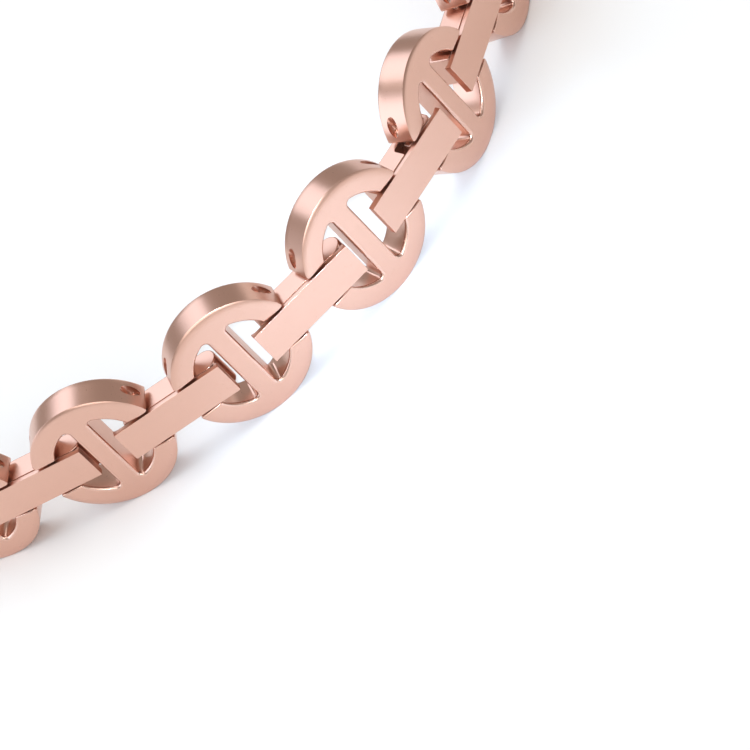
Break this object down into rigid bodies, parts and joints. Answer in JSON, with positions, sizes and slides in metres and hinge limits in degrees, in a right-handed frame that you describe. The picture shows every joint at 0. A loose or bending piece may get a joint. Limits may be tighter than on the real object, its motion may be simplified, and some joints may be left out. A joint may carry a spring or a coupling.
{
  "type": "link watch bracelet",
  "caption": "Watch bracelet of round ring links with crossbars, pinned to flat bar links, with a flap-covered hook clasp and spring-bar end links.",
  "frame": {"origin": "centre of the first end link's spring-bar bore", "axes": "+Z across the bracelet, along every pin and bore; the chain lies curved in the XY plane with its outer faces away from the curve's centre"},
  "size_m": [0.1105, 0.0648, 0.016],
  "materials": {
    "rose_gold_steel": "satin rose-gold plating",
    "rose_gold_pin": "turned rose-gold plated steel"
  },
  "bodies": {
    "end_1": {"end_link_1": "rose_gold_steel"},
    "ring_link_1": {"ring_1": "rose_gold_steel", "ring_pins_1": "rose_gold_pin"},
    "bar_link_1": {"bar_plate_1": "rose_gold_steel", "bar_block_1": "rose_gold_steel"},
    "ring_link_2": {"ring_2": "rose_gold_steel", "ring_pins_2": "rose_gold_pin"},
    "bar_link_2": {"bar_plate_2": "rose_gold_steel", "bar_block_2": "rose_gold_steel"},
    "ring_link_3": {"ring_3": "rose_gold_steel", "ring_pins_3": "rose_gold_pin"},
    "bar_link_3": {"bar_plate_3": "rose_gold_steel", "bar_block_3": "rose_gold_steel"},
    "ring_link_4": {"ring_4": "rose_gold_steel", "ring_pins_4": "rose_gold_pin"},
    "clasp": {"hook_body": "rose_gold_steel", "flap_pin": "rose_gold_pin"},
    "ring_link_5": {"ring_5": "rose_gold_steel", "ring_pins_5": "rose_gold_pin"},
    "bar_link_4": {"bar_plate_4": "rose_gold_steel", "bar_block_4": "rose_gold_steel"},
    "ring_link_6": {"ring_6": "rose_gold_steel", "ring_pins_6": "rose_gold_pin"},
    "bar_link_5": {"bar_plate_5": "rose_gold_steel", "bar_block_5": "rose_gold_steel"},
    "ring_link_7": {"ring_7": "rose_gold_steel", "ring_pins_7": "rose_gold_pin"},
    "bar_link_6": {"bar_plate_6": "rose_gold_steel", "bar_block_6": "rose_gold_steel"},
    "ring_link_8": {"ring_8": "rose_gold_steel", "ring_pins_8": "rose_gold_pin"},
    "end_2": {"end_link_2": "rose_gold_steel"},
    "flap": {"clasp_flap": "rose_gold_steel"}
  },
  "joints": [
    {"name": "ring_4_hinge", "type": "hinge", "parent": "clasp", "child": "ring_link_4", "pos_m": [0.0646, -0.02489, 0], "axis": [0, 0, -1], "range_deg": [-23.5, 36.5]},
    {"name": "bar_3_hinge", "type": "hinge", "parent": "ring_link_4", "child": "bar_link_3", "pos_m": [0.0514, -0.02651, 0], "axis": [0, 0, 1], "range_deg": [-35, 25]},
    {"name": "ring_3_hinge", "type": "hinge", "parent": "bar_link_3", "child": "ring_link_3", "pos_m": [0.04656, -0.02625, 0], "axis": [0, 0, -1], "range_deg": [-25.5, 34.5]},
    {"name": "bar_2_hinge", "type": "hinge", "parent": "ring_link_3", "child": "bar_link_2", "pos_m": [0.03363, -0.02315, 0], "axis": [0, 0, 1], "range_deg": [-37.5, 22.5]},
    {"name": "ring_2_hinge", "type": "hinge", "parent": "bar_link_2", "child": "ring_link_2", "pos_m": [0.0291, -0.02141, 0], "axis": [0, 0, -1], "range_deg": [-24, 36]},
    {"name": "bar_1_hinge", "type": "hinge", "parent": "ring_link_2", "child": "bar_link_1", "pos_m": [0.01758, -0.01476, 0], "axis": [0, 0, 1], "range_deg": [-43, 17]},
    {"name": "ring_1_hinge", "type": "hinge", "parent": "bar_link_1", "child": "ring_link_1", "pos_m": [0.01347, -0.01219, 0], "axis": [0, 0, -1], "range_deg": [-23, 37]},
    {"name": "end_link_1_hinge", "type": "hinge", "parent": "ring_link_1", "child": "end_1", "pos_m": [0.00328, -0.00364, 0], "axis": [0, 0, 1], "range_deg": [-37, 23]},
    {"name": "ring_5_hinge", "type": "hinge", "parent": "clasp", "child": "ring_link_5", "pos_m": [0.06928, -0.02359, 0], "axis": [0, 0, 1], "range_deg": [-31, 29]},
    {"name": "bar_4_hinge", "type": "hinge", "parent": "ring_link_5", "child": "bar_link_4", "pos_m": [0.08062, -0.01664, 0], "axis": [0, 0, -1], "range_deg": [-40.5, 19.5]},
    {"name": "ring_6_hinge", "type": "hinge", "parent": "bar_link_4", "child": "ring_link_6", "pos_m": [0.08454, -0.01379, 0], "axis": [0, 0, 1], "range_deg": [-24, 36]},
    {"name": "bar_5_hinge", "type": "hinge", "parent": "ring_link_6", "child": "bar_link_5", "pos_m": [0.09394, -0.00439, 0], "axis": [0, 0, -1], "range_deg": [-36, 24]},
    {"name": "ring_7_hinge", "type": "hinge", "parent": "bar_link_5", "child": "ring_link_7", "pos_m": [0.0968, -0.00046, 0], "axis": [0, 0, 1], "range_deg": [-24, 36]},
    {"name": "bar_6_hinge", "type": "hinge", "parent": "ring_link_7", "child": "bar_link_6", "pos_m": [0.10283, 0.01139, 0], "axis": [0, 0, -1], "range_deg": [-36, 24]},
    {"name": "ring_8_hinge", "type": "hinge", "parent": "bar_link_6", "child": "ring_link_8", "pos_m": [0.10433, 0.016, 0], "axis": [0, 0, 1], "range_deg": [-24, 36]},
    {"name": "end_link_2_hinge", "type": "hinge", "parent": "ring_link_8", "child": "end_2", "pos_m": [0.10641, 0.02914, 0], "axis": [0, 0, -1], "range_deg": [-37, 23]},
    {"name": "clasp_flap_hinge", "type": "hinge", "parent": "clasp", "child": "flap", "pos_m": [0.07201, -0.02345, 0], "axis": [0, 0, 1], "range_deg": [0, 90]}
  ]
}
